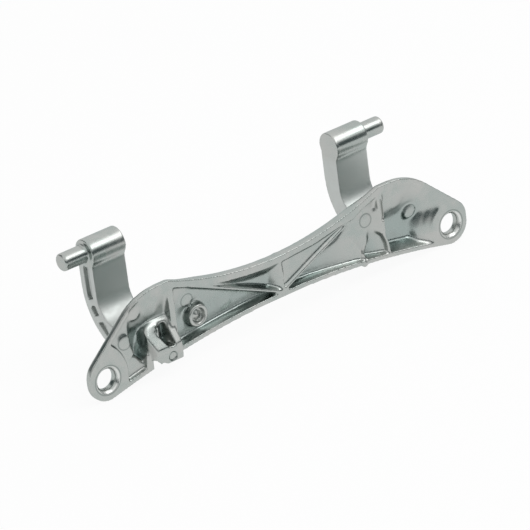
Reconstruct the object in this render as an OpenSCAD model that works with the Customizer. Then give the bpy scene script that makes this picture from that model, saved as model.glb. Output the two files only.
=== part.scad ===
// Door hinge of a washing machine, a single die casting.
// An open, ribbed, bow shaped plate is screwed to the cabinet front. Two hooked arms
// behind it end in round heads, and each head has a pin that points outwards.
// X runs along the pins, Y goes back from the open face of the plate, and Z is up.
// The origin lies midway between the screw holes, on the plane of the plate's rim.

/* [Screw tabs] */
// Distance between the two screw holes
hole_spacing = 189.3; // [180:0.1:200]
// Radius of each screw hole
hole_r = 4.6; // [3:0.1:5]
// Radius of the shallow seat round each screw hole
seat_r = 5.8; // [5.4:0.1:7]
// Depth of the shallow seat
seat_depth = 0.9; // [0.3:0.1:1.5]
// Radius of the rounded end round each screw hole
tab_r = 9.3; // [8.5:0.1:11]
// Height of the straight run at the tip of each tab
tab_lift = 2; // [0.5:0.1:4]
// Depth of the boss behind each screw hole, from the rim plane
tab_boss_depth = 4.8; // [3.6:0.1:6]

/* [Plate outline] */
// Half of the distance between the two upper corners
corner_x = 57.3; // [54:0.1:60]
// Height of the upper corners
corner_z = 32; // [30:0.1:35]
// Height of the upper edge halfway along
waist_high = 21; // [19:0.1:24]
// Height of the lower edge halfway along
waist_low = 1.7; // [0.5:0.1:3]
// Half length at which the level top of each ear starts to turn down
ear_x = 63.4; // [61:0.1:68]
// Radius of the rounded shoulder of each ear
ear_r = 30; // [26:0.5:34]

/* [Plate section] */
// Depth of the outer wall of the plate at the ears and tabs
lip_depth = 3.3; // [2.8:0.1:4]
// Depth of the outer wall of the plate along the waist
waist_depth = 5; // [4.2:0.1:6]
// Depth of the plate's flat back
back_depth = 7.4; // [6.8:0.1:9]
// Distance by which the back is drawn in from the outer wall
back_step = 3.8; // [2:0.1:4.5]
// Thickness of the plate's floor
floor_t = 2; // [1.4:0.1:2.6]
// Width of the upper rim along the waist
rim_high = 3.3; // [2.4:0.1:4]
// Width of the rim along the shoulders
rim_ear = 2.2; // [1.5:0.1:3]
// Width of the lower rim
rim_low = 2.3; // [1.5:0.1:3]

/* [Ear pockets] */
// Depth of the pocket in each ear
ear_depth = 8.3; // [7.6:0.1:9.5]
// Thickness of the wall behind each ear pocket
ear_wall = 1.6; // [1:0.1:2.5]
// Distance of the pocket's far side from the middle of the plate
pocket_x = 79.5; // [77:0.1:80.5]
// Depth of the shelf between the shoulder and the pocket, at its lower edge
shelf_depth = 4; // [3:0.1:5]
// Height at which the shelf starts to fall back
shelf_high = 29.6; // [28:0.1:31]
// Height of the shelf's lower edge
shelf_low = 16.5; // [15:0.1:18]
// Height at which the pocket reaches its full depth
slope_low = 9.8; // [8:0.1:11]
// Depth of the shallow recess beside each tab
recess_depth = 2.1; // [1:0.1:2.4]

/* [Ribs] */
// Thickness of the two slanted ribs
slant_t = 1.4; // [1:0.1:2]
// Half of the distance between the upper ends of the slanted ribs
slant_x = 35.5; // [30:0.1:40]
// Sideways place of the lower end that the three middle ribs share
knot_x = 0.6; // [-3:0.1:3]
// Thickness of the upright middle rib
post_t = 1.6; // [1:0.1:3]
// Distance of each end rib from the middle of the plate
end_rib_x = 57.5; // [55:0.1:58]
// Thickness of each end rib
end_rib_t = 3.2; // [2.4:0.1:4]
// Width of the slit in the right end rib
slit_w = 1.1; // [0.6:0.1:1.4]
// Depth of the slit in the right end rib
slit_depth = 3.4; // [1:0.1:5]

/* [Boss, catch and scoop] */
// Distance of the hollow boss from the middle of the plate
boss_x = 43.8; // [42:0.1:47]
// Height of the hollow boss
boss_z = 9.6; // [8.6:0.1:11]
// Radius of the hollow boss
boss_r = 4.8; // [4:0.1:5.2]
// Radius of the hole in the boss
boss_hole_r = 3; // [2.2:0.1:3.5]
// Radius of the cone at the bottom of the boss hole
cone_r = 1.9; // [1:0.1:2.1]
// Width of the catch block
catch_w = 15.8; // [14:0.1:16.5]
// Forward reach of the catch block in front of the rim plane
catch_reach = 4; // [2:0.1:5]
// Height of the catch block's top
catch_top = 15.6; // [14:0.1:16]
// Height of the catch block's front edge
catch_edge = 4.8; // [3:0.1:7]
// Height of the catch block's underside
catch_foot = -3.2; // [-4:0.1:-2]
// Width of the notch in the lower rim beside the catch block
notch_w = 3.4; // [2:0.1:4]
// Depth of the raised ground between the bent ridge and the scoop
ground_depth = 2.6; // [1.5:0.1:3.5]
// Depth of the scoop beside the right end rib
scoop_depth = 7; // [6:0.1:8]
// Width of the scoop
scoop_w = 9.6; // [7:0.1:10.5]

/* [Arms] */
// Distance of each arm's inner side from the middle of the plate
arm_x = 58.1; // [57:0.1:60]
// Width of each arm along the pins
arm_w = 17.6; // [16:0.1:20]
// Thickness of each arm from front to back
arm_t = 9.9; // [9:0.1:11]
// Depth of the arms' back face, from the rim plane
arm_back = 38.8; // [37:0.1:42]
// Radius of the bend on the outside of each arm
bend_out_r = 27.6; // [26:0.1:28]
// Radius of the bend on the inside of each arm
bend_in_r = 12; // [10:0.1:13]
// Height at which the outside of the arm turns upright
bend_out_z = 25.4; // [25:0.1:28]
// Height at which the inside of the arm turns upright
bend_in_z = 22.9; // [21:0.1:24]
// Thickness of the walls round the hollow in each arm's outer side
arm_wall = 3; // [2.4:0.1:3.4]
// Depth of the hollow in each arm's outer side
arm_hollow = 9; // [5:0.1:12]
// Thickness of the webs that cross the hollow
web_t = 3.2; // [2:0.1:4]

/* [Heads and pins] */
// Height of the pin axis
pin_z = 41.75; // [40:0.05:46]
// Radius of each round head
head_r = 6.4; // [5.8:0.1:7]
// Distance of each head's middle in front of its pin axis
head_shift = 0.7; // [0:0.1:1.4]
// Radius of each pin
pin_r = 4; // [3:0.1:5]
// Length of each pin outside its arm
pin_len = 11.9; // [8:0.1:14]
// Bevel at the tip of each pin
pin_bevel = 0.7; // [0.3:0.1:1.2]

/* [Hidden] */

// Length that carries a cut past a face, and overlap that joins two shapes
over = 1;
bite = 0.2;
// Height of the raised tongue above the recess
pad_rise = 0.7;

hole_x = hole_spacing / 2;
floor_y = back_depth - floor_t;
back_low = rim_low - 1.2;
rib_in = end_rib_x - end_rib_t / 2;
rib_out = end_rib_x + end_rib_t / 2;
catch_right = -end_rib_x + 0.2;
catch_left = catch_right - catch_w;
notch_left = catch_left + 2.7;
scoop_left = rib_in + bite - scoop_w;
arm_front = arm_back - arm_t;
arm_mid = arm_x + arm_w / 2;
arm_outer = arm_x + arm_w;
pin_y = arm_back - arm_t / 2;
out_c = [arm_back - bend_out_r, bend_out_z];
in_c = [arm_front - bend_in_r, bend_in_z];

// The lower edge is an arc that runs smoothly into the rounded tabs
low_r = (hole_x * hole_x + waist_low * waist_low - tab_r * tab_r) / (2 * (tab_r + waist_low));
low_c = waist_low - low_r;
low_turn = atan2(-low_c, hole_x);

// The upper edge is an arc through its middle and the two upper corners
corner_rise = corner_z - waist_high;
high_r = (corner_x * corner_x + corner_rise * corner_rise) / (2 * corner_rise);
high_c = waist_high + high_r;

// The shoulder line touches the ear arc and the arc at the top of the tab
ear_z = corner_z - ear_r;
shoulder_gap = norm([hole_x - ear_x, tab_lift - ear_z]);
shoulder_turn = atan2(tab_lift - ear_z, hole_x - ear_x) + acos((ear_r - tab_r) / shoulder_gap);

// The land round each screw hole ends in an arc on the side of the ear
land_r = 2 * tab_r;
land_x = hole_x - tab_r - 1.7 + land_r;

// Points of an arc about c, from angle a to angle b, in n steps
function arc(c, r, a, b, n) =
    [for (i = [0:n]) c + r * [cos(a + (b - a) * i / n), sin(a + (b - a) * i / n)]];

// Right half of the plate's outline, set in by t along the top and by b along the bottom
function half_outline(t, b) =
    let (
        corner_at = sqrt(pow(high_r + t, 2) - pow(high_c - corner_z + t, 2)),
        corner_turn = atan2(corner_z - t - high_c, corner_at),
        low_stop = low_turn + (90 - low_turn) / 24
    )
    concat(
        arc([0, low_c], low_r + b, 90, low_stop, 23),
        arc([hole_x, 0], tab_r - b, low_turn + 180, 360, 12),
        arc([hole_x, tab_lift], tab_r - t, 0, shoulder_turn, 6),
        arc([ear_x, ear_z], ear_r - t, shoulder_turn, 90, 10),
        arc([0, high_c], high_r + t, corner_turn, -90, 24)
    );

// Whole outline: the right half and its mirror image, without the shared end points
function outline(t, b) =
    let (
        half = half_outline(t, b),
        last = len(half) - 2
    )
    concat(half, [for (i = [last:-1:1]) [-half[i].x, half[i].y]]);

// Turns an X-Z drawing into a slab between two depths
module slab(front, back) {
    translate([0, back, 0])
        rotate([90, 0, 0])
            linear_extrude(height = back - front)
                children();
}

// Turns a Y-Z drawing into a prism between two sideways places
module prism(left, right) {
    translate([left, 0, 0])
        rotate([90, 0, 90])
            linear_extrude(height = right - left)
                children();
}

// Straight cylinder along Y between two depths
module peg(x, z, r, front, back) {
    translate([x, front, z])
        rotate([-90, 0, 0])
            cylinder(h = back - front, r = r, $fn = 64);
}

// Band of an X-Z drawing from one sideways place to another, on one side of the plate
module band(side, from, to) {
    tall = 2 * corner_z;
    translate([side > 0 ? from : -to, -tall])
        square([to - from, 2 * tall]);
}

module both_bands(from, to) {
    for (side = [-1, 1])
        band(side, from, to);
}

// Straight bar of an X-Z drawing from p to q
module bar(p, q, t) {
    run = q - p;
    across = t / 2 * [-run.y, run.x] / norm(run);
    polygon([p + across, p - across, q - across, q + across]);
}

// Outer form of the plate: an outer wall that is deeper along the waist, and a stepped back
module plate_body() {
    near = corner_x - 15;
    far = corner_x - 5;
    slab(0, lip_depth)
        polygon(outline(0, 0));
    intersection() {
        slab(0, waist_depth)
            polygon(outline(0, 0));
        translate([0, 0, -corner_z])
            linear_extrude(height = 2 * corner_z)
                polygon([
                    [-far, 0],
                    [far, 0],
                    [far, lip_depth],
                    [near, waist_depth],
                    [-near, waist_depth],
                    [-far, lip_depth]
                ]);
    }
    slab(lip_depth - over, back_depth)
        intersection() {
            polygon(outline(back_step, back_low));
            both_bands(0, hole_x - tab_r);
        }
    for (side = [-1, 1])
        peg(side * hole_x, 0, tab_r - 1.6, lip_depth - over, tab_boss_depth);
}

// Thicker stretch of the plate's back behind an ear pocket
module ear_block(side) {
    top = slope_low + (shelf_low - slope_low) * 0.6;
    start = side > 0 ? scoop_left - 1.6 : rib_in - 1.4;
    slab(lip_depth - over, ear_depth + ear_wall)
        intersection() {
            polygon(outline(back_step, back_low));
            band(side, start, pocket_x + ear_wall);
            translate([-hole_x, -corner_z])
                square([hole_spacing, corner_z + top]);
        }
}

// Hollow of the tray between the end ribs, with a floor that falls back from the upper rim
module tray_hollow() {
    intersection() {
        slab(-over, back_depth)
            intersection() {
                polygon(outline(rim_high, rim_low));
                both_bands(0, rib_in);
            }
        prism(-corner_x, corner_x)
            polygon([
                [-over, -corner_z],
                [floor_y, -corner_z],
                [floor_y, slope_low],
                [shelf_depth, shelf_low],
                [over, shelf_high - 1],
                [-over, shelf_high + 8]
            ]);
    }
}

// Side view of an ear's hollow: a shelf that falls back from the shoulder, then the pocket
module ear_profile(full_depth) {
    polygon([
        [-over, -corner_z],
        [full_depth, -corner_z],
        [full_depth, slope_low],
        [shelf_depth, shelf_low],
        [0, shelf_high],
        [-over, shelf_high + 3]
    ]);
}

module ear_hollow(side) {
    intersection() {
        slab(-over, ear_depth + over)
            intersection() {
                polygon(outline(rim_ear / 2, rim_low));
                band(side, rib_out, pocket_x);
            }
        prism(side > 0 ? 0 : -hole_x, side > 0 ? hole_x : 0)
            ear_profile(ear_depth);
    }
}

// Shallow recess between the deep pocket and the land round the screw hole
module side_recess(side) {
    difference() {
        intersection() {
            slab(-over, recess_depth)
                intersection() {
                    polygon(outline(rim_ear, rim_low));
                    band(side, pocket_x - over, hole_x);
                }
            prism(-hole_x, hole_x)
                ear_profile(ear_depth);
        }
        slab(-2 * over, recess_depth + over)
            translate([side * land_x, 0])
                circle(r = land_r, $fn = 128);
    }
}

// Raised tongue in the left recess, which carries an ejector pad
module recess_tongue() {
    slab(recess_depth - pad_rise, recess_depth + bite)
        bar([-pocket_x - 3.7, 13.2], [-pocket_x - 0.4, 4.6], 4.4);
}

// Thick end of the lower rim, where it stops short of the catch block
module rim_end() {
    foot = -4.2;
    slab(0, ear_depth + bite)
        polygon([[notch_left, -0.2], [notch_left - 3.2, 3.8], [notch_left - 4.2, foot], [notch_left, foot]]);
}

// Opening in the lower rim beside the catch block, sloped along the underside
module rim_notch() {
    prism(notch_left, notch_left + notch_w)
        polygon([
            [-over, over / 2],
            [back_depth, -4.6],
            [back_depth, -corner_z],
            [-over, -corner_z]
        ]);
}

// Slanted ribs and the upright post, which meet at the knot
module middle_ribs() {
    knot = [knot_x, waist_low + rim_low];
    top_z = high_c - sqrt(pow(high_r + rim_high, 2) - slant_x * slant_x) + slant_t;
    slab(0, floor_y + bite)
        intersection() {
            polygon(outline(bite, bite));
            union() {
                bar(knot, [-slant_x, top_z], slant_t);
                bar(knot, [slant_x, top_z], slant_t);
                bar(knot - [0, slant_t], [knot_x + post_t / 2, waist_high], post_t);
            }
        }
}

// Lower end of the right end rib, which bends away towards the ear
module rib_foot() {
    knee = [end_rib_x, slope_low];
    ankle = [rib_out - 0.2, 4.4];
    toe = [rib_out + 0.8, -1];
    slab(0, ear_depth + bite)
        union() {
            bar(knee, ankle, end_rib_t * 0.7);
            bar(ankle + [0, 0.6], toe, 2);
        }
}

// Hollow boss on the floor of the tray, with a collar at its foot
module boss() {
    collar = 1.6;
    peg(-boss_x, boss_z, boss_r, 0.6, floor_y + bite);
    translate([-boss_x, floor_y - collar, boss_z])
        rotate([-90, 0, 0])
            cylinder(h = collar + bite, r1 = boss_r, r2 = boss_r + 0.8, $fn = 64);
}

// Hole of the boss, with a blunt cone standing at its bottom
module boss_hole() {
    bottom = floor_y - 0.4;
    cone_h = 2.6;
    difference() {
        peg(-boss_x, boss_z, boss_hole_r, -over, bottom);
        translate([-boss_x, bottom - cone_h, boss_z])
            rotate([-90, 0, 0])
                cylinder(h = cone_h + over, r1 = 0.4, r2 = cone_r, $fn = 48);
    }
}

// Catch block in the left ear: a ramp that stands out in front of the rim plane
module catch_block() {
    right = catch_right;
    left = catch_left;
    intersection() {
        prism(left, right)
            polygon([
                [ear_depth + bite, catch_top + 1],
                [3.4, catch_top],
                [2.8, catch_top - 0.5],
                [-catch_reach, catch_edge],
                [-catch_reach + 0.3, catch_foot + 0.6],
                [-catch_reach + 1.4, catch_foot],
                [ear_depth + bite, catch_foot - 2]
            ]);
        translate([0, 0, catch_foot - 4])
            linear_extrude(height = catch_top - catch_foot + 6)
                polygon([
                    [left + 0.2, ear_depth + bite],
                    [left + 0.6, 0.4],
                    [left + 3.4, -catch_reach - over],
                    [right, -catch_reach - over],
                    [right, ear_depth + bite]
                ]);
        slab(-catch_reach - over, ear_depth + over)
            polygon(concat(
                [[right, catch_foot - 4], [right, catch_top + 1.6], [left + 6, catch_top]],
                arc([left + 4.6, catch_top - 4.8], 4.4, 110, 180, 6),
                [[left, 0.4], [left + 3, 0], [left + 7.4, catch_foot + 0.4], [left + 10, catch_foot - 4]]
            ));
    }
}

// Slanted socket in the ramp of the catch block
module catch_socket() {
    right = -rib_out - 1.8;
    slab(-catch_reach - over, ear_depth - over)
        polygon([
            [right, catch_top - 2.4],
            [right - 6.2, catch_top - 1.8],
            [right - 6.6, catch_top - 4.6],
            [right - 3.6, catch_top - 11],
            [right + 0.3, catch_top - 11.4]
        ]);
}

// Bent ridge in the right part of the tray, with raised ground between it and the scoop
module bent_ridge() {
    foot = [scoop_left - 1.6, -0.8];
    knee = foot + [0.5, 4.6];
    elbow = knee + [-4.5, 8.6];
    head = elbow + [-1.2, 9.6];
    slab(0.8, floor_y + bite)
        intersection() {
            polygon(outline(bite, bite));
            union() {
                bar(foot, knee + [0, 0.6], 1.5);
                bar(knee, elbow, 1.7);
                bar(elbow - [0, 0.8], head, 1.7);
            }
        }
    slab(ground_depth, floor_y + bite)
        intersection() {
            polygon(outline(bite, bite));
            polygon([head, elbow, knee, foot, [scoop_left, foot.y], [scoop_left, shelf_low - 0.6]]);
        }
    peg(foot.x + 0.9, foot.y + 0.2, 1.4, 0, lip_depth);
}

// Scoop beside the right end rib, under a slanting upper edge
module scoop() {
    slab(floor_y - 3, scoop_depth)
        intersection() {
            polygon(outline(rim_high, rim_low));
            polygon(concat(
                [[scoop_left, -4], [scoop_left, shelf_low - 0.6]],
                arc([scoop_left - 3.6, shelf_low - 14.4], 14.2, 74, 22, 8),
                [[rib_in, shelf_low - 9.6], [rib_in, -4]]
            ));
        }
}

// Slit in the face of the right end rib
module rib_slit() {
    translate([end_rib_x + 0.1, -over, shelf_low - 1])
        cube([slit_w, slit_depth + over, 10.4]);
}

// Flat ejector pads that stand out of the sloped floors, as [x, z, radius, depth of the face]
module ejector_pads() {
    pads = [
        [-pocket_x - 3.7, 13.2, 2.8, recess_depth - pad_rise],
        [-75.8, 22.8, 2.4, 1.7],
        [-47.6, 17.9, 2.9, 3.3],
        [-26.8, 9.4, 2.6, floor_y - 0.3],
        [50.2, 18.1, 2.9, 3],
        [67, 20.2, 4.4, 2.4],
        [pocket_x - 1.7, 10.8, 2.8, 5.2]
    ];
    for (pad = pads)
        peg(pad[0], pad[1], pad[2], pad[3], back_depth - over);
}

// Screw hole with its shallow seat, both open to the front
module screw_hole(side) {
    peg(side * hole_x, 0, hole_r, -over, tab_boss_depth + over);
    peg(side * hole_x, 0, seat_r, -over, seat_depth);
}

// Side view of an arm: a hook from the plate's back up to the head
module arm_profile() {
    root_y = back_depth - floor_t / 2;
    polygon(concat(
        [[root_y, out_c.y - bend_out_r + bite]],
        arc(out_c, bend_out_r, -90, 0, 24),
        [[arm_back, pin_z], [arm_front, pin_z]],
        arc(in_c, bend_in_r, 0, -90, 16),
        [[root_y, in_c.y - bend_in_r]]
    ));
}

// Side view of the hollow in an arm's outer side, parted by webs that run across the arm
module arm_hollow_profile() {
    top = pin_z - head_r - bite;
    difference() {
        polygon(concat(
            arc(out_c, bend_out_r - arm_wall, -62, 0, 20),
            [[arm_back - arm_wall, top], [arm_front + arm_wall, top]],
            arc(in_c, bend_in_r + arm_wall, 0, -58, 14)
        ));
        for (z = [bend_in_z - 2.7, bend_in_z - 10.7])
            translate([arm_front, z])
                rotate(-20)
                    square([3 * arm_t, web_t], center = true);
    }
}

// Round head at the top of an arm
module head(side) {
    translate([side * arm_mid, pin_y - head_shift, pin_z])
        rotate([0, 90, 0])
            cylinder(h = arm_w, r = head_r, center = true, $fn = 96);
}

module arm(side) {
    hollow_from = arm_outer - arm_hollow;
    hollow_to = arm_outer + over;
    difference() {
        union() {
            prism(side > 0 ? arm_x : -arm_outer, side > 0 ? arm_outer : -arm_x)
                arm_profile();
            head(side);
        }
        prism(side > 0 ? hollow_from : -hollow_to, side > 0 ? hollow_to : -hollow_from)
            arm_hollow_profile();
    }
}

module pin(side) {
    reach = arm_outer + pin_len - pin_bevel;
    translate([side * (arm_mid + reach) / 2, pin_y, pin_z])
        rotate([0, 90, 0])
            cylinder(h = reach - arm_mid, r = pin_r, center = true, $fn = 96);
    translate([side * reach, pin_y, pin_z])
        rotate([0, side * 90, 0])
            cylinder(h = pin_bevel, r1 = pin_r, r2 = pin_r - pin_bevel, $fn = 96);
}

module plate() {
    difference() {
        union() {
            difference() {
                union() {
                    plate_body();
                    ear_block(-1);
                    ear_block(1);
                }
                tray_hollow();
                for (side = [-1, 1]) {
                    ear_hollow(side);
                    side_recess(side);
                }
            }
            middle_ribs();
            rib_foot();
            boss();
            bent_ridge();
            catch_block();
            rim_end();
            recess_tongue();
            ejector_pads();
        }
        boss_hole();
        catch_socket();
        rib_slit();
        rim_notch();
        scoop();
    }
}

module hinge_casting() {
    color([0.66, 0.68, 0.67])
        difference() {
            union() {
                plate();
                for (side = [-1, 1]) {
                    arm(side);
                    pin(side);
                }
            }
            screw_hole(-1);
            screw_hole(1);
            for (side = [-1, 1])
                intersection() {
                    ear_hollow(side);
                    slab(back_depth - floor_t, ear_depth + over)
                        band(side, rib_out + (side < 0 ? catch_w : 2), pocket_x);
                }
        }
}

hinge_casting();
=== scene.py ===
"""Washing machine door hinge: the skin and finish of its zinc casting, with stage, lights and camera."""

from __future__ import annotations

import logging
import math
from dataclasses import dataclass, field
from enum import Enum
from typing import Any

import bmesh
import bpy
import numpy as np
from mathutils import Matrix, Vector

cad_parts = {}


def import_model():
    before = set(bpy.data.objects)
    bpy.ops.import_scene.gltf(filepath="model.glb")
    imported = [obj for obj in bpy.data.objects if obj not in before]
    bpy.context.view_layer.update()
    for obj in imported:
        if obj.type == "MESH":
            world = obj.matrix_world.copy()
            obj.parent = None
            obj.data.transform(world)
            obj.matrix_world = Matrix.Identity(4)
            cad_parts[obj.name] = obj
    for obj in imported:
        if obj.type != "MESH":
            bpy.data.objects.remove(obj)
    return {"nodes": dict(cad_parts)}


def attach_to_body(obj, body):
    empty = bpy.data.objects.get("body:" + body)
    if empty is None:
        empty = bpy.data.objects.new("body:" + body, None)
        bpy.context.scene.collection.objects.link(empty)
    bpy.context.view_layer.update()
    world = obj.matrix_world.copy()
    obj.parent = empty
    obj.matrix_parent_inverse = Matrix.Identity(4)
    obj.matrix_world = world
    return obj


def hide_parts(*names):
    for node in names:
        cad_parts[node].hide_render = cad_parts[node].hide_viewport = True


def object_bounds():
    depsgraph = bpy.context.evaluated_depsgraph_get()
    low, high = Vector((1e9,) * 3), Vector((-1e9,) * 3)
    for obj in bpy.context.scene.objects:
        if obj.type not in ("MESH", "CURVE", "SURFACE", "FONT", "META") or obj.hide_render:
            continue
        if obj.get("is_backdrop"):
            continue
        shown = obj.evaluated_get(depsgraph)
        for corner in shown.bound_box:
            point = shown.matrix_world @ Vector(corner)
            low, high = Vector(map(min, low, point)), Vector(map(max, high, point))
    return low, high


LOG = logging.getLogger("door_hinge")
MM = 0.001

Colour = tuple[float, float, float]
Point = tuple[float, float]
Value = Any


class NodeKind(Enum):
    """Which of Blender's node trees a sheet writes to."""

    SHADER = "Shader"
    GEOMETRY = "Geometry"


class Term:
    """A number on a node's socket. Arithmetic on it adds Math nodes to its sheet."""

    def __init__(self, sheet: "NodeSheet", socket: bpy.types.NodeSocket) -> None:
        """Keeps the socket and the sheet that new Math nodes go to.

        Args:
            sheet: the sheet that owns the node.
            socket: the output socket that carries the number.
        """
        self.sheet = sheet
        self.socket = socket

    def _math(self, operation: str, *values: Value) -> "Term":
        """Adds a Math node.

        Args:
            operation: the Math node's operation.
            values: its inputs in order, as numbers or terms.

        Returns:
            The term on the node's output.
        """
        node = self.sheet.add("ShaderNodeMath", {"operation": operation}, dict(enumerate(values)))
        return Term(self.sheet, node.outputs[0])

    def __add__(self, other: Value) -> "Term":
        """Sum."""
        return self._math("ADD", self, other)

    __radd__ = __add__

    def __mul__(self, other: Value) -> "Term":
        """Product."""
        return self._math("MULTIPLY", self, other)

    __rmul__ = __mul__

    def __sub__(self, other: Value) -> "Term":
        """Difference."""
        return self._math("SUBTRACT", self, other)

    def __rsub__(self, other: Value) -> "Term":
        """Difference with the number first."""
        return self._math("SUBTRACT", other, self)

    def at_least(self, other: Value) -> "Term":
        """The larger of the two."""
        return self._math("MAXIMUM", self, other)

    def ease(self, low: float, high: float) -> "Term":
        """Turns the number into a smooth step.

        Args:
            low: the number at which the step starts.
            high: the number at which it ends.

        Returns:
            A term that is 0 before the step and 1 after it.
        """
        node = self.sheet.add(
            "ShaderNodeMapRange",
            {"interpolation_type": "SMOOTHSTEP"},
            {"Value": self, "From Min": low, "From Max": high},
        )
        return Term(self.sheet, node.outputs["Result"])


class NodeSheet:
    """A node tree that is written from Python."""

    def __init__(self, tree: bpy.types.NodeTree, kind: NodeKind) -> None:
        """Empties the tree.

        Args:
            tree: the tree to write.
            kind: which sort of tree it is.
        """
        self.tree = tree
        self.kind = kind
        tree.nodes.clear()

    def add(
        self,
        kind: str,
        settings: dict[str, Value] | None = None,
        inputs: dict[int | str, Value] | None = None,
    ) -> bpy.types.Node:
        """Adds one node, sets its settings and then its sockets.

        Args:
            kind: the node's type name.
            settings: the node's own settings. "stops" gives a colour ramp's stops.
            inputs: a value, socket or term for each input, by the input's name or place.

        Returns:
            The new node.
        """
        node = self.tree.nodes.new(kind)
        for name, value in (settings or {}).items():
            if name == "stops":
                self._set_stops(node, value)
            else:
                setattr(node, name, value)
        for key, value in (inputs or {}).items():
            self.plug(value, node.inputs[key])
        return node

    @staticmethod
    def _set_stops(node: bpy.types.Node, stops: list[tuple[float, Colour]]) -> None:
        """Gives a colour ramp its stops.

        Args:
            node: the Color Ramp node.
            stops: the place and colour of each stop, in rising order.
        """
        elements = node.color_ramp.elements
        while len(elements) < len(stops):
            elements.new(1.0)
        for element, (place, colour) in zip(elements, stops):
            element.position = place
            element.color = (*colour, 1.0)

    def plug(self, value: Value, socket: bpy.types.NodeSocket) -> None:
        """Links or sets one input.

        Args:
            value: a term, an output socket, or a plain value.
            socket: the input that takes it.
        """
        if isinstance(value, Term):
            value = value.socket
        if isinstance(value, bpy.types.NodeSocket):
            self.tree.links.new(value, socket)
        elif socket.type == "RGBA" and len(value) == 3:
            socket.default_value = (*value, 1.0)
        else:
            socket.default_value = value

    def noise(self, scale: float, detail: float, vector: Value, warp: float = 0.0) -> Term:
        """Adds a Noise Texture.

        Args:
            scale: waves in a metre.
            detail: number of finer octaves.
            vector: the coordinates.
            warp: distortion of the pattern.

        Returns:
            The noise, about 0.5 on average.
        """
        inputs = {"Vector": vector, "Scale": scale, "Detail": detail, "Distortion": warp}
        return Term(self, self.add("ShaderNodeTexNoise", {}, inputs).outputs[0])

    def blend(self, factor: Value, first: Value, second: Value) -> bpy.types.NodeSocket:
        """Mixes two colours.

        Args:
            factor: share of the second colour.
            first: colour at 0.
            second: colour at 1.

        Returns:
            The mixed colour's socket.
        """
        node = self.add("ShaderNodeMix", {"data_type": "RGBA"}, {0: factor, 6: first, 7: second})
        return node.outputs[2]


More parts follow.
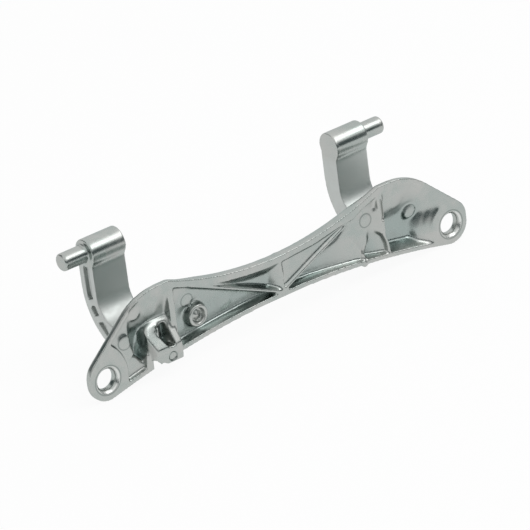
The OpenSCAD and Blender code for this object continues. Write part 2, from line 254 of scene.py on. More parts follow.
@dataclass(frozen=True)
class CastZinc:
    """Satin die cast zinc alloy with soft clouds of tone, a fine grain and uneven gloss, plus painted shade in the
    pockets and in thin rings round the pads and holes, painted light on the arms' fronts and painted highlight rings
    round the screw holes.
    """

    name: str = "cast_zinc"
    bright: Colour = (0.480, 0.490, 0.472)
    dull: Colour = (0.392, 0.430, 0.412)
    # Painted shade: a darker teal that the deeper parts of the plate take on, in place of the shade in its pockets.
    recess_shade: Colour = (0.295, 0.362, 0.350)
    recess_shade_share: float = 0.7
    # Painted light: a lighter colour for the arms' fronts, standing in for the light they catch.
    arm_painted_light: Colour = (0.60, 0.625, 0.61)
    edge_tint: Colour = (0.72, 0.75, 0.75)
    roughness: float = 0.22
    roughness_spread: float = 0.12
    arm_roughness: float = 0.2
    cloud_scale: float = 62.0
    ripple_scale: float = 240.0
    grain_scale: float = 2600.0
    bump_depth: float = 0.1 * MM
    # Painted shade: dark thin rings along the edges of the dimple, the ejector pads and the screw-hole lands, in place
    # of the shade in their creases.
    crease_shade: Colour = (0.15, 0.18, 0.17)
    crease_shade_share: float = 0.6
    crease_shade_rings: tuple[tuple[float, float, float], ...] = (
        (-62.7, -0.3, 2.0),
        (50.2, 18.1, 3.1),
        (76.0, 12.0, 3.3),
        (-82.9, 12.4, 3.1),
        (-47.6, 17.9, 3.0),
        (94.65, 0.0, 6.6),
        (-94.65, 0.0, 6.6),
    )
    # Painted highlight: a light thin ring round each screw hole, standing in for the glint on its rim.
    rim_highlight: Colour = (0.78, 0.79, 0.77)
    rim_highlight_rings: tuple[tuple[float, float, float], ...] = ((94.65, 0.0, 5.7), (-94.65, 0.0, 5.7))

    @staticmethod
    def _rings(sheet: NodeSheet, place: Value, rings: tuple[tuple[float, float, float], ...], width: float) -> Term:
        """Marks thin rings on the plate's face.

        Args:
            sheet: the material's sheet.
            place: the place on the object.
            rings: each ring's sideways place, height and radius, in millimetres.
            width: half the width of a ring, in millimetres.

        Returns:
            1 on the rings, 0 elsewhere.
        """
        flat = sheet.add("ShaderNodeVectorMath", {"operation": "MULTIPLY"}, {0: place, 1: (1.0, 0.0, 1.0)})
        marks = Term(sheet, flat.outputs[0]) * 0.0
        for x, z, radius in rings:
            centre = (x * MM, 0.0, z * MM)
            gap = sheet.add("ShaderNodeVectorMath", {"operation": "DISTANCE"}, {0: flat.outputs[0], 1: centre})
            reach = Term(sheet, gap.outputs["Value"])
            outer = 1.0 - reach.ease((radius + width * 0.3) * MM, (radius + width) * MM)
            marks = marks.at_least(reach.ease((radius - width) * MM, (radius - width * 0.3) * MM) * outer)
        return marks

    def build(self) -> bpy.types.Material:
        """Makes the material.

        Returns:
            The new material.
        """
        material = bpy.data.materials.new(self.name)
        material.use_nodes = True
        sheet = NodeSheet(material.node_tree, NodeKind.SHADER)
        place = sheet.add("ShaderNodeTexCoord").outputs["Object"]
        clouds = sheet.noise(self.cloud_scale, 3.0, place, 0.5)
        ripple = sheet.noise(self.ripple_scale, 2.0, place, 0.3)
        grain = sheet.noise(self.grain_scale, 2.0, place)
        tone = (clouds * 0.55 + ripple * 0.31 + grain * 0.14).ease(0.38, 0.62)
        axes = sheet.add("ShaderNodeSeparateXYZ", {}, {0: place}).outputs
        depth, height = Term(sheet, axes["Y"]), Term(sheet, axes["Z"])
        # The arms mask lightens the arms' fronts with painted light, and also makes them rougher.
        arms = depth.ease(9.5 * MM, 11.0 * MM) * (1.0 - height.ease(33.5 * MM, 37.0 * MM))
        # Painted shade: the base colour darkens towards the recess shade colour the deeper a point lies in the plate.
        inner = depth.ease(1.2 * MM, 6.5 * MM) * (1.0 - depth.ease(8.6 * MM, 9.6 * MM))
        inner = inner * (clouds * 0.8 + 0.5) * self.recess_shade_share
        metal = sheet.blend(inner, sheet.blend(tone, self.dull, self.bright), self.recess_shade)
        face = 1.0 - depth.ease(6.0 * MM, 6.5 * MM)
        # Painted highlight: the light rings round the screw holes lighten the base colour on the plate's face.
        metal = sheet.blend(self._rings(sheet, place, self.rim_highlight_rings, 0.6) * face * 0.7, metal, self.rim_highlight)
        # Painted shade: the dark rings darken the base colour on the plate's face.
        crease_shade_mask = self._rings(sheet, place, self.crease_shade_rings, 0.42) * face * self.crease_shade_share
        metal = sheet.blend(crease_shade_mask, metal, self.crease_shade)
        gloss = (clouds * 0.5 + ripple * 0.5).ease(0.35, 0.65)
        relief = ripple * 0.3 + grain * 0.1 + clouds * 0.5
        bump = sheet.add(
            "ShaderNodeBump",
            {},
            {"Strength": 0.4, "Distance": self.bump_depth, "Height": relief},
        )
        surface = sheet.add(
            "ShaderNodeBsdfPrincipled",
            {},
            {
                "Base Color": sheet.blend(arms * 0.65, metal, self.arm_painted_light),
                "Metallic": 1.0,
                "Roughness": gloss * self.roughness_spread + self.roughness + arms * self.arm_roughness,
                "Specular Tint": self.edge_tint,
                "Normal": bump.outputs["Normal"],
            },
        )
        sheet.add("ShaderNodeOutputMaterial", {}, {"Surface": surface.outputs[0]})
        return material


@dataclass(frozen=True)
class Plate:
    """Sizes of the model's plate that the relief follows, in millimetres."""

    hole_x: float = 94.65
    tab_r: float = 9.3
    tab_lift: float = 2.0
    waist_low: float = 1.7
    waist_high: float = 21.0
    corner_x: float = 57.3
    corner_z: float = 32.0
    rim_low: float = 2.3
    rim_high: float = 3.3
    ear_x: float = 63.4
    ear_z: float = 2.0
    ear_r: float = 30.0
    ear_depth: float = 8.3
    floor_y: float = 5.4
    shelf_depth: float = 4.0
    shelf_high: float = 29.6
    shelf_low: float = 16.5
    slope_low: float = 9.8
    rib_out: float = 59.1
    arm_x: float = 58.1
    arm_outer: float = 75.7
    arm_front: float = 28.9
    head_y: float = 33.15
    pin_z: float = 41.75
    head_r: float = 6.4

    def rim_edge(self, x: np.ndarray) -> np.ndarray:
        """Height of the lower rim's inner edge.

        Args:
            x: sideways places.

        Returns:
            The heights.
        """
        reach = self.hole_x**2 + self.waist_low**2 - self.tab_r**2
        radius = reach / (2 * (self.tab_r + self.waist_low))
        return self.waist_low - radius + np.sqrt(radius**2 - x**2) + self.rim_low

    def upper_edge(self, x: np.ndarray) -> np.ndarray:
        """Height of the upper rim's inner edge along the waist.

        Args:
            x: sideways places.

        Returns:
            The heights.
        """
        rise = self.corner_z - self.waist_high
        radius = (self.corner_x**2 + rise**2) / (2 * rise)
        inner = radius + self.rim_high
        return self.waist_high + radius - np.sqrt(inner**2 - x**2)

    def tray_depth(self, z: np.ndarray) -> np.ndarray:
        """Depth of the tray's floor, which falls back from the upper rim.

        Args:
            z: heights.

        Returns:
            The depths.
        """
        heights = (self.slope_low, self.shelf_low, self.shelf_high - 1.0)
        return np.interp(z, heights, (self.floor_y, self.shelf_depth, 1.0))

    def ear_floor(self, z: np.ndarray) -> np.ndarray:
        """Depth of an ear's shelf and pocket.

        Args:
            z: heights.

        Returns:
            The depths.
        """
        heights = (self.slope_low, self.shelf_low, self.shelf_high)
        return np.interp(z, heights, (self.ear_depth, self.shelf_depth, 0.0))

    def shoulder_gap(self, x: np.ndarray, z: np.ndarray) -> np.ndarray:
        """Distance of a point of the right ear from the shoulder's outer edge.

        Args:
            x: sideways places.
            z: heights.

        Returns:
            The distances, which are positive inside the plate.
        """
        span = self.hole_x - self.ear_x
        turn = math.acos((self.ear_r - self.tab_r) / span)
        along = (x - self.ear_x) * math.cos(turn) + (z - self.ear_z) * math.sin(turn)
        round_gap = self.ear_r - np.hypot(x - self.ear_x, z - self.ear_z)
        touch = self.ear_x + self.ear_r * math.cos(turn)
        return np.where(x < touch, round_gap, self.ear_r - along)


@dataclass(frozen=True)
class Disc:
    """Round region of the plate's face."""

    x: float
    z: float
    radius: float

    def inside(self, x: np.ndarray, z: np.ndarray) -> np.ndarray:
        """Distance from the edge, positive inside.

        Args:
            x: sideways places.
            z: heights.

        Returns:
            The distances.
        """
        return self.radius - np.hypot(x - self.x, z - self.z)


@dataclass(frozen=True)
class Stroke:
    """Straight band of the plate's face with round ends."""

    start: Point
    end: Point
    width: float

    def inside(self, x: np.ndarray, z: np.ndarray) -> np.ndarray:
        """Distance from the edge, positive inside.

        Args:
            x: sideways places.
            z: heights.

        Returns:
            The distances.
        """
        return self.width / 2 - edge_distance(x, z, self.start, self.end)


@dataclass(frozen=True)
class Patch:
    """Many-cornered region of the plate's face."""

    corners: tuple[Point, ...]

    def inside(self, x: np.ndarray, z: np.ndarray) -> np.ndarray:
        """Distance from the edge, positive inside.

        Args:
            x: sideways places.
            z: heights.

        Returns:
            The distances.
        """
        within = np.zeros(x.shape, dtype=bool)
        nearest = np.full(x.shape, np.inf)
        for first, second in zip(self.corners, self.corners[1:] + self.corners[:1]):
            nearest = np.minimum(nearest, edge_distance(x, z, first, second))
            crosses = (first[1] > z) != (second[1] > z)
            rise = (second[1] - first[1]) or 1.0
            at_x = first[0] + (second[0] - first[0]) * (z - first[1]) / rise
            within ^= crosses & (x < at_x)
        return np.where(within, nearest, -nearest)


def edge_distance(x: np.ndarray, z: np.ndarray, first: Point, second: Point) -> np.ndarray:
    """Distance of points from a straight edge.

    Args:
        x: sideways places.
        z: heights.
        first: the edge's start.
        second: the edge's end.

    Returns:
        The distances.
    """
    run_x, run_z = second[0] - first[0], second[1] - first[1]
    length = run_x**2 + run_z**2
    share = np.clip(((x - first[0]) * run_x + (z - first[1]) * run_z) / length, 0.0, 1.0)
    return np.hypot(x - first[0] - share * run_x, z - first[1] - share * run_z)


class FaceRelief:
    """Shapes the open face of the plate and the arms on a dense copy of the casting."""

    soft = 0.35
    blend = 0.6

    def __init__(self, mesh: bpy.types.Mesh, plate: Plate) -> None:
        """Reads the mesh.

        Args:
            mesh: the dense mesh, in metres.
            plate: the plate's sizes.
        """
        self.mesh = mesh
        self.plate = plate
        count = len(mesh.vertices)
        places = np.empty(count * 3)
        normals = np.empty(count * 3)
        mesh.vertices.foreach_get("co", places)
        mesh.vertex_normals.foreach_get("vector", normals)
        self.places = places.reshape(-1, 3) / MM
        self.facing = normals.reshape(-1, 3)[:, 1] < 0.35

    def _plate_side(self) -> np.ndarray:
        """Marks the points of the plate's open side.

        Returns:
            A mask over the points.
        """
        return self.facing & (self.places[:, 1] < self.plate.ear_depth + 0.5)

    def level(
        self,
        region: Disc | Stroke | Patch,
        depth: float | np.ndarray,
        fill_only: bool = False,
        every_side: bool = False,
    ) -> None:
        """Brings a region of the face to a depth.

        Args:
            region: where it applies.
            depth: the depth, as one number or one for each point.
            fill_only: whether points in front of the depth stay where they are.
            every_side: whether points that face back inside the plate move too.
        """
        x, y, z = self.places.T
        moves = (y < self.plate.ear_depth + 0.4) if every_side else self._plate_side()
        share = np.clip(region.inside(x, z) / self.soft + 0.5, 0.0, 1.0) * moves
        target = np.broadcast_to(depth, y.shape)
        if fill_only:
            target = np.minimum(target, y)
        self.places[:, 1] = y + (target - y) * share

    def middle_ribs(self) -> None:
        """Sets the slanted ribs, the deep cell left of the post and the shallow one right of it."""
        x, _, z = self.places.T
        floor = self.plate.tray_depth(z)
        knot = (0.6, 3.9)
        below_left = Patch(((-4.0, 5.0), (-38.0, 20.6), (-46.0, 24.0), (-46.0, 21.8), (-36.0, 16.4), (-4.0, 3.8)))
        below_right = Patch(((6.0, 5.4), (38.0, 20.0), (39.8, 22.4), (39.8, 19.0), (34.0, 15.4), (6.0, 3.6)))
        self.level(below_left, floor)
        self.level(below_right, floor)
        upper = self.plate.upper_edge(x)
        bank = 0.1 + np.maximum(np.minimum((upper - z) * 1.1, 0.9 - x), 0.0)
        pit = np.minimum(np.interp(x, (-37.5, -27.0, -2.0), (0.2, 3.4, 5.0)), bank)
        self.level(Patch(((1.0, 4.4), (1.2, 17.5), (-20.0, 18.6), (-37.5, 21.8), (-37.5, 21.2))), pit)
        self.level(Patch(((2.2, 5.2), (37.5, 21.6), (37.5, 22.0), (20.0, 18.9), (1.7, 17.6))), 1.3)
        self.level(Stroke(knot, (-47.0, 25.4), 1.9), 0.05)
        self.level(Stroke(knot, (46.0, 24.7), 1.9), 0.05)

    def right_cells(self) -> None:
        """Sets the bent ridge, the ground beside it, the scoop and the bent foot of the end rib."""
        x, _, z = self.places.T
        tray = self.plate.tray_depth(z)
        beside_rib = 0.3 + np.maximum(56.3 - x, 0.0) * 0.9
        ground = np.minimum.reduce([np.full(x.shape, 2.6), tray, beside_rib])
        head, elbow, knee = (41.0, 21.2), (41.2, 12.2), (46.3, 3.8)
        self.level(Stroke((45.2, 4.6), (44.8, 2.6), 2.6), self.plate.floor_y)
        self.level(Stroke((40.6, 12.4), (39.6, 20.5), 2.6), tray)
        rise = Patch(((14.0, 3.8), (16.0, 8.4), (34.0, 15.0), (40.4, 20.8), (41.4, 12.2), (46.4, 3.8), (46.4, 1.5), (30.0, 3.0)))
        self.level(rise, np.minimum(tray, np.interp(x - 0.35 * (12.2 - z), (14.0, 40.6), (5.4, 2.4))))
        self.level(Patch((head, elbow, knee, (46.6, 1.4), (56.2, 0.6), (56.2, 21.8))), ground)
        self.level(Stroke(head, elbow, 1.7), np.minimum(tray, 2.1))
        self.level(Stroke(elbow, knee, 1.6), 1.9)
        self.level(Stroke(knee, (46.8, 1.2), 1.5), 0.8)
        scoop = Patch(
            (
                (48.2, 1.2),
                (48.2, 2.5),
                (50.8, 7.8),
                (50.6, 13.7),
                (53.4, 12.6),
                (56.0, 9.8),
                (57.6, 9.0),
                (59.0, 4.0),
                (59.2, -0.2),
            )
        )
        fall = np.interp(x, (48.0, 59.0), (3.6, 0.0)) * np.clip((14.0 - z) / 8.0, 0.0, 1.0)
        self.level(scoop, 2.5 + fall)
        self.level(Stroke((57.9, 9.6), (59.9, 4.0), 1.7), 0.2)
        self.level(Stroke((59.9, 4.2), (60.0, 0.4), 1.7), 0.2)
        self.level(Patch(((57.4, 15.2), (58.9, 15.2), (58.9, 26.2), (57.4, 26.2))), 1.5, True)

    def left_recess(self) -> None:
        """Joins the tongue to the pocket's floor and closes the pocket below it."""
        z = self.places[:, 2]
        pocket = Patch(((-79.6, 13.4), (-79.2, 10.4), (-77.6, 5.2), (-74.4, 0.8), (-73.8, 4.0), (-73.6, 13.4)))
        self.level(pocket, np.interp(z, (4.0, 9.0, 13.4), (8.0, 7.2, 6.0)), every_side=True)
        tongue = Patch(((-81.0, 12.6), (-79.6, 11.2), (-77.8, 5.2), (-81.0, 4.2)))
        self.level(tongue, 1.5, True, True)
        apron = Patch(((-81.4, 5.0), (-77.6, 4.4), (-74.4, 0.2), (-74.4, -2.6), (-81.4, -4.0)))
        self.level(apron, 2.1, True, True)

    def right_flank(self) -> None:
        """Sets the rippled flank round the right tab, and the pocket's drafted foot."""
        plate = self.plate
        x, y, z = self.places.T
        radius = np.hypot(x - plate.hole_x, z)
        beyond = radius - 10.6
        flank = np.interp(beyond, (0.0, 1.4, 3.0, 4.2, 5.8, 7.2, 9.0), (0.0, 0.9, 1.5, 2.5, 3.3, 5.4, 8.3))
        room = np.interp(x, (80.5, 85.0), (7.4, 1.9))
        foot = 0.4 + np.maximum(z - plate.rim_edge(x), 0.0) * 3.0
        gap = plate.shoulder_gap(x, z) - np.interp(x, (76.0, 82.0), (1.3, 3.4))
        bank = np.maximum(np.minimum(gap * 0.6, 90.0 - x), 0.0) + 0.05
        floor = np.interp(z, (4.0, 12.5, 17.8, plate.shelf_high), (8.3, 6.4, 3.6, 0.0))
        limits = np.stack([flank, room, foot, floor, bank])
        depth = np.maximum(-self.blend * np.log(np.exp(-limits / self.blend).sum(axis=0)), 0.03)
        beside = gap + np.interp(x, (77.0, 80.0), (0.0, 2.6))
        edge = np.minimum.reduce([beside, z - plate.rim_edge(x), beyond + 0.3, x - plate.rib_out - 2.2, 92.0 - x])
        share = np.clip(edge / self.soft + 0.5, 0.0, 1.0) * self._plate_side()
        self.places[:, 1] = y + (depth - y) * share

    def catch_socket(self) -> None:
        """Drafts the left wall of the catch block's socket."""
        x = self.places[:, 0]
        socket = Patch(((-60.9, 13.2), (-67.1, 13.8), (-67.5, 11.0), (-64.5, 4.6), (-60.6, 4.2)))
        self.level(socket, np.interp(x, (-67.4, -61.2), (-1.6, 6.0)), True)

    def pads(self, pads: tuple[EjectorPad, ...]) -> None:
        """Raises the ejector pads as full discs.

        Args:
            pads: the pads.
        """
        for pad in pads:
            self.level(Disc(pad.x, pad.z, pad.radius), pad.depth)
        low_pads = self.plate.ear_floor(self.places[:, 2]) - 0.3
        for side in (-1.0, 1.0):
            self.level(Disc(side * 67.4, 21.3, 4.3), low_pads)

    def boss(self) -> None:
        """Widens the hollow boss a little about its own middle."""
        x, _, z = self.places.T
        away_x, away_z = x + 43.8, z - 9.6
        share = np.clip((8.0 - np.hypot(away_x, away_z)) / 2.5, 0.0, 1.0) * self._plate_side()
        self.places[:, 0] = x + share * (0.08 * away_x - 0.2)
        self.places[:, 2] = z + share * (0.08 * away_z + 0.4)
        from_middle = np.hypot(self.places[:, 0] + 44.0, self.places[:, 2] - 10.0)
        self.level(Disc(-44.0, 10.0, 3.1), 1.0 + 0.85 * np.minimum(from_middle, 3.2))

    def catch_dimple(self) -> None:
        """Sinks the round dimple in the catch block's front face."""
        x, y, z = self.places.T
        share = np.clip(Disc(-62.7, -0.3, 2.1).inside(x, z) / self.soft + 0.5, 0.0, 1.0)
        self.places[:, 1] = y + share * 0.9 * (y < -3.0)

    def arm_hollows(self) -> None:
        """Brings the floor of the hollows in the arms' outer sides forward."""
        x, y, z = self.places.T
        floor = self.plate.arm_outer - 2.6
        band = (np.abs(x) > floor - 7.0) & (np.abs(x) < floor) & (y > 9.0) & (z < 37.0)
        toward = np.sign(x) * floor
        self.places[:, 0] = np.where(band, toward, x)

    def head_fillets(self) -> None:
        """Runs the arms' front faces smoothly into the round heads."""
        plate = self.plate
        x, y, z = self.places.T
        neck = 5.0
        jut = plate.arm_front - plate.head_y
        drop = math.sqrt((plate.head_r + neck) ** 2 - (neck - jut) ** 2)
        centre_y, centre_z = plate.arm_front - neck, plate.pin_z - drop
        top = centre_z + neck * drop / (plate.head_r + neck)
        rise = np.clip(z - centre_z, 0.0, top - centre_z)
        curve = centre_y + np.sqrt(neck**2 - rise**2)
        on_arm = (np.abs(x) > plate.arm_x - 0.2) & (np.abs(x) < plate.arm_outer + 0.2)
        near = on_arm & (z > centre_z) & (z < top + 0.4) & (y < plate.arm_front + 0.4) & (y > 20.0)
        self.places[:, 1] = np.where(near, np.minimum(y, curve), y)

    def write(self) -> None:
        """Puts the moved points back into the mesh."""
        self.mesh.vertices.foreach_set("co", (self.places * MM).ravel())
        self.mesh.update()


@dataclass(frozen=True)
class EjectorPad:
    """One round pad that an ejector pin left on the casting, in millimetres."""

    x: float
    z: float
    radius: float
    depth: float


@dataclass
class FlashRings:
    """Thin beads of metal round the ejector pads."""

    pads: tuple[EjectorPad, ...] = (
        EjectorPad(-82.9, 12.4, 3.0, 1.1),
        EjectorPad(-75.8, 22.6, 2.6, 1.5),
        EjectorPad(-47.6, 17.9, 2.9, 2.9),
        EjectorPad(-26.8, 9.4, 2.6, 5.1),
        EjectorPad(50.2, 18.1, 3.0, 2.1),
        EjectorPad(76.0, 12.0, 3.2, 3.8),
    )
    bead: float = 0.1 * MM
    bead_sides: int = 8
    ring_steps: int = 40

    def _tree(self, finish: bpy.types.Material) -> bpy.types.NodeTree:
        """Writes the tree that puts one ring on each pad.

        Args:
            finish: the material of the rings.

        Returns:
            The new geometry tree, whose named input is the bead's radius.
        """
        tree = bpy.data.node_groups.new("flash_rings", "GeometryNodeTree")
        tree.interface.new_socket("Geometry", in_out="INPUT", socket_type="NodeSocketGeometry")
        tree.interface.new_socket("Bead radius", in_out="INPUT", socket_type="NodeSocketFloat")
        tree.interface.new_socket("Geometry", in_out="OUTPUT", socket_type="NodeSocketGeometry")
        sheet = NodeSheet(tree, NodeKind.GEOMETRY)
        given = sheet.add("NodeGroupInput").outputs
        radius = sheet.add("GeometryNodeInputNamedAttribute", {"data_type": "FLOAT"}, {"Name": "pad_radius"})
        ring = sheet.add("GeometryNodeCurvePrimitiveCircle", {}, {"Resolution": self.ring_steps, "Radius": 1.0})
        rings = sheet.add(
            "GeometryNodeInstanceOnPoints",
            {},
            {
                "Points": given["Geometry"],
                "Instance": ring.outputs["Curve"],
                "Rotation": (math.pi / 2, 0.0, 0.0),
                "Scale": radius.outputs["Attribute"],
            },
        )
        lines = sheet.add("GeometryNodeRealizeInstances", {}, {0: rings.outputs[0]})
        section = sheet.add(
            "GeometryNodeCurvePrimitiveCircle",
            {},
            {"Resolution": self.bead_sides, "Radius": given["Bead radius"]},
        )
        beads = sheet.add(
            "GeometryNodeCurveToMesh",
            {},
            {"Curve": lines.outputs[0], "Profile Curve": section.outputs["Curve"]},
        )
        whole = sheet.add("GeometryNodeRealizeInstances", {}, {0: beads.outputs[0]})
        dressed = sheet.add("GeometryNodeSetMaterial", {}, {"Geometry": whole.outputs[0], "Material": finish})
        sheet.add("NodeGroupOutput", {}, {0: dressed.outputs[0]})
        return tree

    def build(self, finish: bpy.types.Material) -> bpy.types.Mesh:
        """Makes all the rings.

        Args:
            finish: the material of the rings.

        Returns:
            One mesh that holds the rings, in metres.
        """
        mesh = bpy.data.meshes.new("pad_centres")
        mesh.from_pydata([(pad.x * MM, pad.depth * MM, pad.z * MM) for pad in self.pads], [], [])
        sizes = mesh.attributes.new("pad_radius", "FLOAT", "POINT")
        sizes.data.foreach_set("value", [pad.radius * MM for pad in self.pads])
        centres = bpy.data.objects.new("pad_centres", mesh)
        bpy.context.scene.collection.objects.link(centres)
        attach(centres, self._tree(finish), {"Bead radius": self.bead})
        return taken(centres, "flash_rings")


@dataclass
class CastSkin:
    """The uneven surface that the metal takes from its die."""

    swell: float = 0.07 * MM
    swell_scale: float = 160.0
    inner_passes: int = 20

    def tree(self, finish: bpy.types.Material) -> bpy.types.NodeTree:
        """Writes the tree that rounds the plate's inner corners and swells the surface a little.

        Args:
            finish: the material of the casting.

        Returns:
            The new geometry tree, with named inputs for the height and scale of the swell.
        """
        tree = bpy.data.node_groups.new("cast_skin", "GeometryNodeTree")
        tree.interface.new_socket("Geometry", in_out="INPUT", socket_type="NodeSocketGeometry")
        for name in ("Swell", "Swell scale"):
            tree.interface.new_socket(name, in_out="INPUT", socket_type="NodeSocketFloat")
        tree.interface.new_socket("Geometry", in_out="OUTPUT", socket_type="NodeSocketGeometry")
        sheet = NodeSheet(tree, NodeKind.GEOMETRY)
        given = sheet.add("NodeGroupInput").outputs
        place = sheet.add("GeometryNodeInputPosition").outputs[0]
        waves = sheet.noise(1.0, 2.0, place)
        sheet.plug(given["Swell scale"], waves.socket.node.inputs["Scale"])
        height = (waves - 0.5) * Term(sheet, given["Swell"])
        depth = Term(sheet, sheet.add("ShaderNodeSeparateXYZ", {}, {0: place}).outputs["Y"])
        inner = depth.ease(0.2 * MM, 1.3 * MM) * (1.0 - depth.ease(8.4 * MM, 9.0 * MM))
        eased = sheet.add(
            "GeometryNodeBlurAttribute",
            {"data_type": "FLOAT_VECTOR"},
            {"Value": place, "Iterations": self.inner_passes, "Weight": inner},
        )
        normal = sheet.add("GeometryNodeInputNormal").outputs[0]
        offset = sheet.add("ShaderNodeVectorMath", {"operation": "SCALE"}, {0: normal, "Scale": height})
        moved = sheet.add(
            "GeometryNodeSetPosition",
            {},
            {"Geometry": given["Geometry"], "Position": eased.outputs[0], "Offset": offset.outputs[0]},
        )
        whole = sheet.add("GeometryNodeRealizeInstances", {}, {0: moved.outputs[0]})
        dressed = sheet.add("GeometryNodeSetMaterial", {}, {"Geometry": whole.outputs[0], "Material": finish})
        sheet.add("NodeGroupOutput", {}, {0: dressed.outputs[0]})
        return tree


@dataclass
class Casting:
    """The one piece of the hinge, with the rounded edges and fillets of a die casting."""

    node: str = "hinge_casting"
    body: str = "root"
    slot: str = "cast_zinc"
    piece: str = "cast_hinge"
    voxel: float = 0.34 * MM
    fillet_passes: int = 9
    triangles: int = 190000
    finish: CastZinc = field(default_factory=CastZinc)
    rings: FlashRings = field(default_factory=FlashRings)
    skin: CastSkin = field(default_factory=CastSkin)
    plate: Plate = field(default_factory=Plate)

    @staticmethod
    def _joined(meshes: list[bpy.types.Mesh], name: str) -> bpy.types.Object:
        """Puts meshes into one and joins its loose triangles.

        Args:
            meshes: the meshes.
            name: the new object's name.

        Returns:
            A new object in the scene.
        """
        work = bmesh.new()
        for mesh in meshes:
            work.from_mesh(mesh)
        bmesh.ops.remove_doubles(work, verts=work.verts, dist=0.001 * MM)
        whole = bpy.data.meshes.new(name)
        work.to_mesh(whole)
        work.free()
        made = bpy.data.objects.new(name, whole)
        bpy.context.scene.collection.objects.link(made)
        return made

    def _voxels(self, target: bpy.types.Object) -> None:
        """Gives an object an even, dense mesh.

        Args:
            target: the object.
        """
        remesh = target.modifiers.new("voxels", "REMESH")
        remesh.mode = "VOXEL"
        remesh.voxel_size = self.voxel
        remesh.use_smooth_shade = True

    def _carved(self, source: bpy.types.Object) -> bpy.types.Mesh:
        """Makes the dense casting with the relief of its face.

        Args:
            source: the object that holds the model's mesh.

        Returns:
            The carved mesh.
        """
        plain = self._joined([source.data], "plain_casting")
        self._voxels(plain)
        mesh = taken(plain, "carved_casting")
        relief = FaceRelief(mesh, self.plate)
        relief.boss()
        relief.middle_ribs()
        relief.right_cells()
        relief.left_recess()
        relief.right_flank()
        relief.pads(self.rings.pads)
        relief.catch_socket()
        relief.catch_dimple()
        relief.arm_hollows()
        relief.head_fillets()
        relief.write()
        return mesh

    def build(self, source: bpy.types.Object) -> bpy.types.Object:
        """Makes the finished casting and sets it in place of the plain one.

        Args:
            source: the object that holds the model's mesh.

        Returns:
            The finished piece.
        """
        metal = self.finish.build()
        rough = self._joined([self._carved(source), self.rings.build(metal)], "rough_casting")
        self._voxels(rough)
        soften = rough.modifiers.new("fillets", "SMOOTH")
        soften.factor = 0.5
        soften.iterations = self.fillet_passes
        waves = {"Swell": self.skin.swell, "Swell scale": self.skin.swell_scale}
        attach(rough, self.skin.tree(metal), waves)
        dense = taken(rough, "dense_casting")
        faces = 2 * len(dense.polygons)
        body = bpy.data.objects.new(self.piece, dense)
        bpy.context.scene.collection.objects.link(body)
        thin = body.modifiers.new("thin", "DECIMATE")
        thin.ratio = min(1.0, self.triangles / faces)
        flats = body.modifiers.new("flats", "WEIGHTED_NORMAL")
        flats.weight = 50
        final = taken(body, self.piece)
        made = bpy.data.objects.new(self.piece, final)
        bpy.context.scene.collection.objects.link(made)
        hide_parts(self.node)
        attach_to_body(made, self.body)
        LOG.info("%s: %d triangles from %d", self.piece, len(final.polygons), faces)
        return made


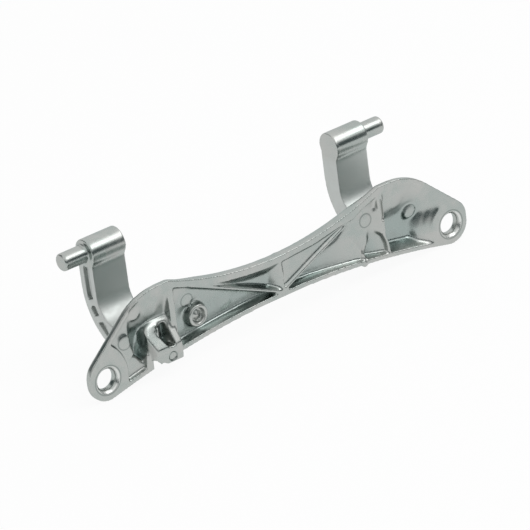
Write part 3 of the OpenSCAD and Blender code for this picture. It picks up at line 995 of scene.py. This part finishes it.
@dataclass
class Studio:
    """A white table, a white backdrop, and soft light from the upper right."""

    floor_size: float = 0.9
    floor_colour: Colour = (0.92, 0.92, 0.92)
    backdrop_share: float = 0.92
    white: Colour = (1.0, 1.0, 1.0)
    dark: Colour = (0.07, 0.095, 0.097)
    key_azimuth: float = 52.0
    key_elevation: float = 49.0
    key_distance: float = 1.1
    key_width: float = 0.85
    key_height: float = 0.4
    key_radiance: float = 2.2

    @staticmethod
    def _shown(sheet: NodeSheet) -> Term:
        """Tells the rays that show the backdrop from those that only light the object.

        Args:
            sheet: the sheet that gets the Light Path node.

        Returns:
            1 for camera, glossy and transmission rays, 0 for others.
        """
        path = sheet.add("ShaderNodeLightPath").outputs
        camera, glossy, through = (Term(sheet, path[f"Is {name} Ray"]) for name in ("Camera", "Glossy", "Transmission"))
        return camera.at_least(glossy).at_least(through)

    def _floor(self, height: float) -> None:
        """Lays the table.

        Args:
            height: the level of the table's top.
        """
        mesh = bpy.data.meshes.new("table")
        work = bmesh.new()
        bmesh.ops.create_circle(work, cap_ends=True, segments=96, radius=self.floor_size)
        work.to_mesh(mesh)
        work.free()
        table = bpy.data.objects.new("table", mesh)
        table.location.z = height
        bpy.context.scene.collection.objects.link(table)
        paint = bpy.data.materials.new("white_table")
        paint.use_nodes = True
        sheet = NodeSheet(paint.node_tree, NodeKind.SHADER)
        seen = self._shown(sheet) * self.backdrop_share
        matt = sheet.add("ShaderNodeBsdfDiffuse", {}, {"Color": self.floor_colour})
        glow = sheet.add("ShaderNodeEmission", {}, {"Color": self.white, "Strength": 1.0})
        mixed = sheet.add("ShaderNodeMixShader", {}, {0: seen, 1: matt.outputs[0], 2: glow.outputs[0]})
        sheet.add("ShaderNodeOutputMaterial", {}, {"Surface": mixed.outputs[0]})
        mesh.materials.append(paint)
        table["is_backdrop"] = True

    def _room(self) -> None:
        """Makes the world: a white backdrop with a dark flag in front and one at the back left."""
        world = bpy.data.worlds.new("room")
        bpy.context.scene.world = world
        world.use_nodes = True
        sheet = NodeSheet(world.node_tree, NodeKind.SHADER)
        direction = sheet.add("ShaderNodeTexCoord").outputs["Generated"]
        axes = sheet.add("ShaderNodeSeparateXYZ", {}, {0: direction}).outputs
        sideways, depth, up = (Term(sheet, axes[name]) for name in ("X", "Y", "Z"))
        front = 1.0 - depth.ease(-0.45, 0.1)
        band = 1.0 - up.ease(0.3, 0.5)
        flag = (1.0 - sideways.ease(-0.35, 0.0)) * depth.ease(0.1, 0.5) * up.ease(0.08, 0.3)
        tone = sheet.blend((front * band).at_least(flag), self.white, self.dark)
        glow = sheet.add("ShaderNodeBackground", {}, {"Color": tone, "Strength": self._shown(sheet) * 0.06 + 0.94})
        sheet.add("ShaderNodeOutputWorld", {}, {"Surface": glow.outputs[0]})

    def _key(self) -> None:
        """Hangs the soft box."""
        light = bpy.data.lights.new("soft_box", "AREA")
        light.shape = "RECTANGLE"
        light.size = self.key_width
        light.size_y = self.key_height
        light.energy = self.key_radiance * math.pi * self.key_width * self.key_height
        lamp = bpy.data.objects.new("soft_box", light)
        azimuth, elevation = math.radians(self.key_azimuth), math.radians(self.key_elevation)
        flat = math.cos(elevation)
        way = Vector((math.sin(azimuth) * flat, -math.cos(azimuth) * flat, math.sin(elevation)))
        lamp.location = way * self.key_distance
        lamp.rotation_euler = (-way).to_track_quat("-Z", "Y").to_euler()
        bpy.context.scene.collection.objects.link(lamp)

    def build(self, height: float) -> None:
        """Sets up the stage.

        Args:
            height: the lowest level of the object.
        """
        self._floor(height)
        self._room()
        self._key()
        LOG.info("studio: table at %.2f mm", height / MM)


@dataclass
class PhotoCamera:
    """The photograph's view, with lengths in metres and angles in degrees."""

    azimuth: float = 35.408
    elevation: float = 24.99
    roll: float = -7.492
    distance: float = 2.084666
    target: tuple[float, float, float] = (-0.007243, 0.0, 0.019758)
    focal_pixels: float = 4899.8
    frame_pixels: float = 530.0
    sensor: float = 36.0

    def build(self) -> bpy.types.Object:
        """Makes the scene's camera.

        Returns:
            The camera object.
        """
        azimuth, elevation = math.radians(self.azimuth), math.radians(self.elevation)
        flat = math.cos(elevation)
        ahead = Vector((math.sin(azimuth) * flat, math.cos(azimuth) * flat, -math.sin(elevation)))
        level = ahead.cross(Vector((0.0, 0.0, 1.0))).normalized()
        upright = level.cross(ahead)
        roll = math.radians(self.roll)
        right = level * math.cos(roll) + upright * math.sin(roll)
        above = upright * math.cos(roll) - level * math.sin(roll)
        data = bpy.data.cameras.new("photo_camera")
        data.sensor_width = self.sensor
        data.lens = self.focal_pixels / self.frame_pixels * self.sensor
        data.clip_start = 0.1
        data.clip_end = 20.0
        camera = bpy.data.objects.new("photo_camera", data)
        turn = Matrix((right, above, -ahead)).transposed().to_4x4()
        place = Vector(self.target) - ahead * self.distance
        camera.matrix_world = Matrix.Translation(place) @ turn
        bpy.context.scene.collection.objects.link(camera)
        bpy.context.scene.camera = camera
        return camera


def attach(target: bpy.types.Object, tree: bpy.types.NodeTree, values: dict[str, float]) -> None:
    """Adds a Geometry Nodes modifier and sets its inputs by their sockets' identifiers.

    Args:
        target: the object that gets the modifier.
        tree: the geometry tree.
        values: the inputs by their names.
    """
    modifier = target.modifiers.new(tree.name, "NODES")
    modifier.node_group = tree
    for item in tree.interface.items_tree:
        if item.item_type == "SOCKET" and item.in_out == "INPUT" and item.name in values:
            modifier[item.identifier] = values[item.name]


def taken(worked: bpy.types.Object, name: str) -> bpy.types.Mesh:
    """Turns an object with its modifiers into a plain mesh and removes the object.

    Args:
        worked: the object with its modifiers.
        name: the new mesh's name.

    Returns:
        The plain mesh.
    """
    bpy.context.view_layer.update()
    graph = bpy.context.evaluated_depsgraph_get()
    mesh = bpy.data.meshes.new_from_object(
        worked.evaluated_get(graph), preserve_all_data_layers=True, depsgraph=graph
    )
    bpy.data.objects.remove(worked, do_unlink=True)
    mesh.name = name
    return mesh


def corners(box: tuple[Vector, Vector]) -> list[list[float]]:
    """A box as plain lists of numbers."""
    return [list(corner) for corner in box]


def main() -> None:
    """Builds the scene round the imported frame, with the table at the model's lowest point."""
    logging.basicConfig(level=logging.INFO, format="%(name)s %(message)s")
    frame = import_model()
    model_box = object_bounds()
    casting = Casting()
    casting.build(frame["nodes"][casting.node])
    Studio().build(model_box[0].z)
    PhotoCamera().build()
    bpy.context.scene.view_settings.view_transform = "Standard"


if __name__ == "__main__":
    main()
